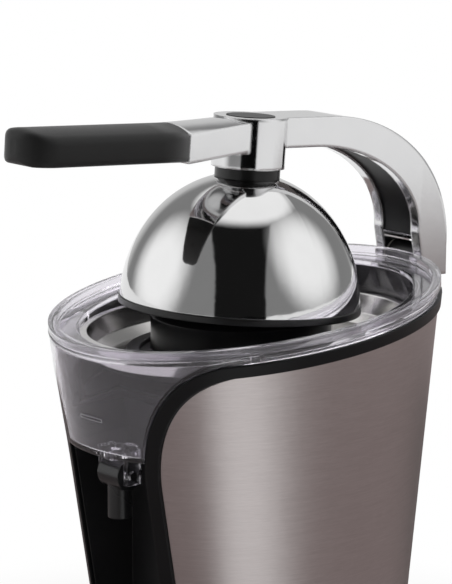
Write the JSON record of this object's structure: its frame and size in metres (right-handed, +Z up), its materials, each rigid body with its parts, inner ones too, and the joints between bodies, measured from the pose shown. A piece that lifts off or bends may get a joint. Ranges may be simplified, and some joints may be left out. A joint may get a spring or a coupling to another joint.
{
  "type": "electric lever citrus juicer",
  "caption": "Countertop electric citrus juicer: a lever arm presses a polished dome over a ribbed reamer in a clear juice bowl, with a flip spout and a steel-wrapped body.",
  "frame": {"origin": "on the table under the middle of the whole juicer, a little in front of the spindle", "axes": "+Z up, the spout and grip point towards -Y, the hinge is towards +Y"},
  "size_m": [0.157, 0.2468, 0.2977],
  "materials": {
    "plinth_plastic": "matte black",
    "rubber": "matte",
    "screw_steel": "bright",
    "housing_plastic": "matte black",
    "wrap_steel": "brushed along the girth",
    "trim_plastic": "satin black",
    "clear_plastic": "clear",
    "strainer_steel": "satin",
    "reamer_plastic": "satin black",
    "motor_steel": "plain",
    "bronze": "bearing bronze",
    "bracket_metal": "black",
    "gear_plastic": "natural",
    "arm_chrome": "satin chrome",
    "dome_steel": "mirror polished",
    "liner_plastic": "satin black",
    "grip_plastic": "matte charcoal",
    "spout_plastic": "satin black"
  },
  "bodies": {
    "housing": {"plinth": "plinth_plastic", "bottom_cover": "plinth_plastic", "rubber_feet": "rubber", "base_screws": "screw_steel", "housing_shell": "housing_plastic", "steel_wrap": "wrap_steel", "top_trim": "trim_plastic", "juice_bowl": "clear_plastic", "strainer": "strainer_steel", "sieve_ring": "reamer_plastic", "gear_plate": "housing_plastic", "motor_can": "motor_steel", "stator": "motor_steel", "idler_axle": "screw_steel", "microswitch": "housing_plastic", "press_spring": "screw_steel", "spindle_bush": "bronze", "shaft_seal": "rubber", "hinge_bracket": "bracket_metal", "hinge_pin": "screw_steel", "hinge_washers": "gear_plastic", "bracket_screws": "screw_steel", "cord_gland": "rubber"},
    "arm": {"arm_casting": "arm_chrome", "arm_liner": "liner_plastic", "grip": "grip_plastic", "grip_screw": "screw_steel", "boss_cap": "liner_plastic", "hinge_cap": "arm_chrome", "dome_shell": "dome_steel", "dome_liner": "liner_plastic", "dome_collar": "liner_plastic", "dome_stem": "screw_steel"},
    "thrust": {"thrust_cup": "gear_plastic", "switch_plunger": "gear_plastic"},
    "spindle": {"drive_shaft": "screw_steel", "output_gear": "gear_plastic", "reamer": "reamer_plastic"},
    "idler": {"idler_gear": "gear_plastic"},
    "motor_rotor": {"rotor": "motor_steel", "motor_pinion": "screw_steel"},
    "spout": {"spout": "spout_plastic"}
  },
  "joints": [
    {"name": "arm_hinge", "type": "hinge", "parent": "housing", "child": "arm", "pos_m": [0, 0.11443, 0.212], "axis": [-1, 0, 0], "range_deg": [-4.5, 62]},
    {"name": "spindle_press", "type": "slide", "parent": "housing", "child": "thrust", "axis": [0, 0, -1], "range_m": [0, 0.002], "stiffness_N_per_m": 3000, "springref_m": -0.004, "deforming": ["press_spring"]},
    {"name": "reamer_spin", "type": "hinge", "parent": "thrust", "child": "spindle", "pos_m": [0, 0.00593, 0.2], "axis": [0, 0, 1], "continuous": true},
    {"name": "idler_spin", "type": "hinge", "parent": "housing", "child": "idler", "pos_m": [0.03189, 0.02566, 0.14], "axis": [0, 0, 1], "continuous": true},
    {"name": "motor_spin", "type": "hinge", "parent": "housing", "child": "motor_rotor", "pos_m": [0, 0.03193, 0.09], "axis": [0, 0, 1], "continuous": true},
    {"name": "spout_flip", "type": "hinge", "parent": "housing", "child": "spout", "pos_m": [0, -0.06607, 0.1381], "axis": [-1, 0, 0], "range_deg": [0, 70]}
  ],
  "couplings": [
    {"joint": "idler_spin", "follows": "reamer_spin", "ratio": -3.2857},
    {"joint": "motor_spin", "follows": "reamer_spin", "ratio": 10.952}
  ]
}
